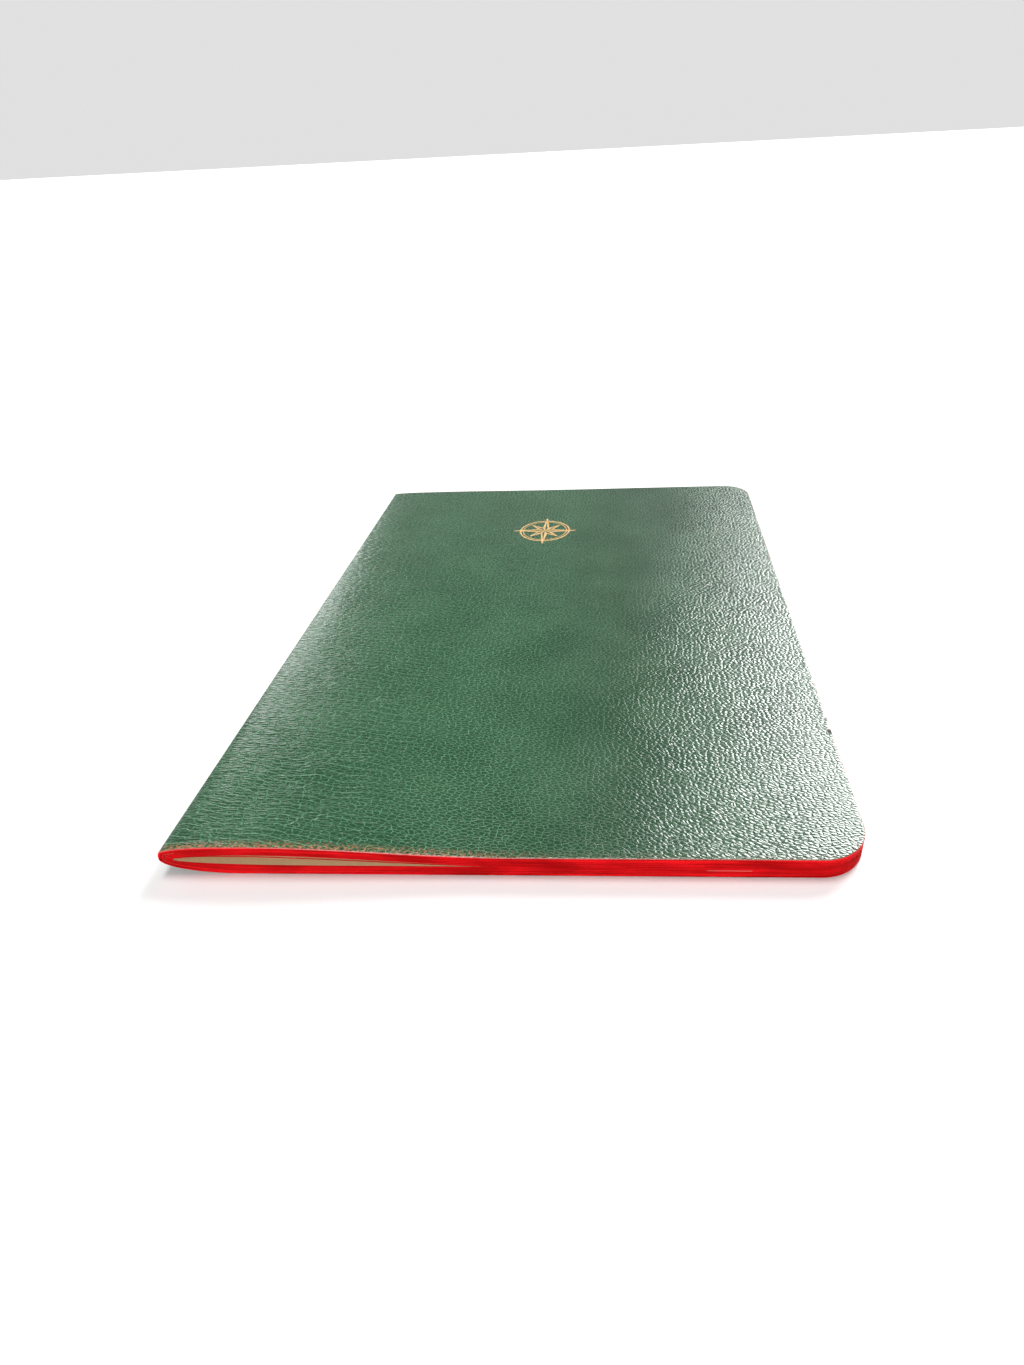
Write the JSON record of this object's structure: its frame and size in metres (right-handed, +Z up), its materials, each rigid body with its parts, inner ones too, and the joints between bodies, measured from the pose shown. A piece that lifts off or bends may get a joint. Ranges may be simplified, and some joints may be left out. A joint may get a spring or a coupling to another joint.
{
  "type": "pilot logbook",
  "caption": "Slim closed pilot logbook: folded sheets sewn into a soft grained leather cover with rounded fore-edge corners, opening flat at its middle.",
  "frame": {"origin": "on the table under the middle of the closed book", "axes": "+X across the book from the spine to the fore edge, +Y from the tail to the head, +Z up out of the front cover"},
  "size_m": [0.148, 0.21, 0.0052],
  "materials": {
    "cover_leather": "satin morocco grain, dark green",
    "endpaper": "matte, cream",
    "page_paper": "matte, cream, edges stained red",
    "thread": "matte, waxed linen",
    "gold_foil": "gilt foil, pressed into the leather"
  },
  "bodies": {
    "back": {"back_cover": "cover_leather", "back_pastedown": "endpaper", "sheet_01_rear_leaf": "page_paper", "sheet_02_rear_leaf": "page_paper", "sheet_03_rear_leaf": "page_paper", "sheet_04_rear_leaf": "page_paper", "sheet_05_rear_leaf": "page_paper", "sheet_06_rear_leaf": "page_paper", "sheet_07_rear_leaf": "page_paper", "sheet_08_rear_leaf": "page_paper", "sheet_09_rear_leaf": "page_paper", "sheet_10_rear_leaf": "page_paper", "sheet_11_rear_leaf": "page_paper", "sheet_12_rear_leaf": "page_paper"},
    "spine": {"spine_cover": "cover_leather", "sewing_thread": "thread"},
    "front": {"front_cover": "cover_leather", "front_pastedown": "endpaper", "cover_mark": "gold_foil"},
    "leaf_01": {"sheet_01_front_leaf": "page_paper"},
    "leaf_02": {"sheet_02_front_leaf": "page_paper"},
    "leaf_03": {"sheet_03_front_leaf": "page_paper"},
    "leaf_04": {"sheet_04_front_leaf": "page_paper"},
    "leaf_05": {"sheet_05_front_leaf": "page_paper"},
    "leaf_06": {"sheet_06_front_leaf": "page_paper"},
    "leaf_07": {"sheet_07_front_leaf": "page_paper"},
    "leaf_08": {"sheet_08_front_leaf": "page_paper"},
    "leaf_09": {"sheet_09_front_leaf": "page_paper"},
    "leaf_10": {"sheet_10_front_leaf": "page_paper"},
    "leaf_11": {"sheet_11_front_leaf": "page_paper"},
    "leaf_12": {"sheet_12_front_leaf": "page_paper"}
  },
  "joints": [
    {"name": "cover_hinge", "type": "hinge", "parent": "spine", "child": "front", "pos_m": [-0.0715, 0, 0.00518], "axis": [0, -1, 0], "range_deg": [0, 90.5]},
    {"name": "spine_hinge", "type": "hinge", "parent": "back", "child": "spine", "pos_m": [-0.074, 0, 0], "axis": [0, -1, 0], "range_deg": [0, 90.5]},
    {"name": "leaf_01_hinge", "type": "hinge", "parent": "spine", "child": "leaf_01", "pos_m": [-0.0715, 0, 0.00518], "axis": [0, -1, 0], "range_deg": [0, 90.5]},
    {"name": "leaf_02_hinge", "type": "hinge", "parent": "spine", "child": "leaf_02", "pos_m": [-0.0715, 0, 0.00518], "axis": [0, -1, 0], "range_deg": [0, 90.5]},
    {"name": "leaf_03_hinge", "type": "hinge", "parent": "spine", "child": "leaf_03", "pos_m": [-0.0715, 0, 0.00518], "axis": [0, -1, 0], "range_deg": [0, 90.5]},
    {"name": "leaf_04_hinge", "type": "hinge", "parent": "spine", "child": "leaf_04", "pos_m": [-0.0715, 0, 0.00518], "axis": [0, -1, 0], "range_deg": [0, 90.5]},
    {"name": "leaf_05_hinge", "type": "hinge", "parent": "spine", "child": "leaf_05", "pos_m": [-0.0715, 0, 0.00518], "axis": [0, -1, 0], "range_deg": [0, 90.5]},
    {"name": "leaf_06_hinge", "type": "hinge", "parent": "spine", "child": "leaf_06", "pos_m": [-0.0715, 0, 0.00518], "axis": [0, -1, 0], "range_deg": [0, 90.5]},
    {"name": "leaf_07_hinge", "type": "hinge", "parent": "spine", "child": "leaf_07", "pos_m": [-0.0715, 0, 0.00518], "axis": [0, -1, 0], "range_deg": [0, 90.5]},
    {"name": "leaf_08_hinge", "type": "hinge", "parent": "spine", "child": "leaf_08", "pos_m": [-0.0715, 0, 0.00518], "axis": [0, -1, 0], "range_deg": [0, 90.5]},
    {"name": "leaf_09_hinge", "type": "hinge", "parent": "spine", "child": "leaf_09", "pos_m": [-0.0715, 0, 0.00518], "axis": [0, -1, 0], "range_deg": [0, 90.5]},
    {"name": "leaf_10_hinge", "type": "hinge", "parent": "spine", "child": "leaf_10", "pos_m": [-0.0715, 0, 0.00518], "axis": [0, -1, 0], "range_deg": [0, 90.5]},
    {"name": "leaf_11_hinge", "type": "hinge", "parent": "spine", "child": "leaf_11", "pos_m": [-0.0715, 0, 0.00518], "axis": [0, -1, 0], "range_deg": [0, 90.5]},
    {"name": "leaf_12_hinge", "type": "hinge", "parent": "spine", "child": "leaf_12", "pos_m": [-0.0715, 0, 0.00518], "axis": [0, -1, 0], "range_deg": [0, 90.5]}
  ],
  "couplings": [
    {"joint": "spine_hinge", "follows": "cover_hinge", "ratio": 1},
    {"joint": "leaf_01_hinge", "follows": "cover_hinge", "ratio": 0.995},
    {"joint": "leaf_02_hinge", "follows": "cover_hinge", "ratio": 0.99},
    {"joint": "leaf_03_hinge", "follows": "cover_hinge", "ratio": 0.985},
    {"joint": "leaf_04_hinge", "follows": "cover_hinge", "ratio": 0.98},
    {"joint": "leaf_05_hinge", "follows": "cover_hinge", "ratio": 0.975},
    {"joint": "leaf_06_hinge", "follows": "cover_hinge", "ratio": 0.97},
    {"joint": "leaf_07_hinge", "follows": "cover_hinge", "ratio": 0.965},
    {"joint": "leaf_08_hinge", "follows": "cover_hinge", "ratio": 0.96},
    {"joint": "leaf_09_hinge", "follows": "cover_hinge", "ratio": 0.955},
    {"joint": "leaf_10_hinge", "follows": "cover_hinge", "ratio": 0.95},
    {"joint": "leaf_11_hinge", "follows": "cover_hinge", "ratio": 0.945},
    {"joint": "leaf_12_hinge", "follows": "cover_hinge", "ratio": 0.94}
  ]
}
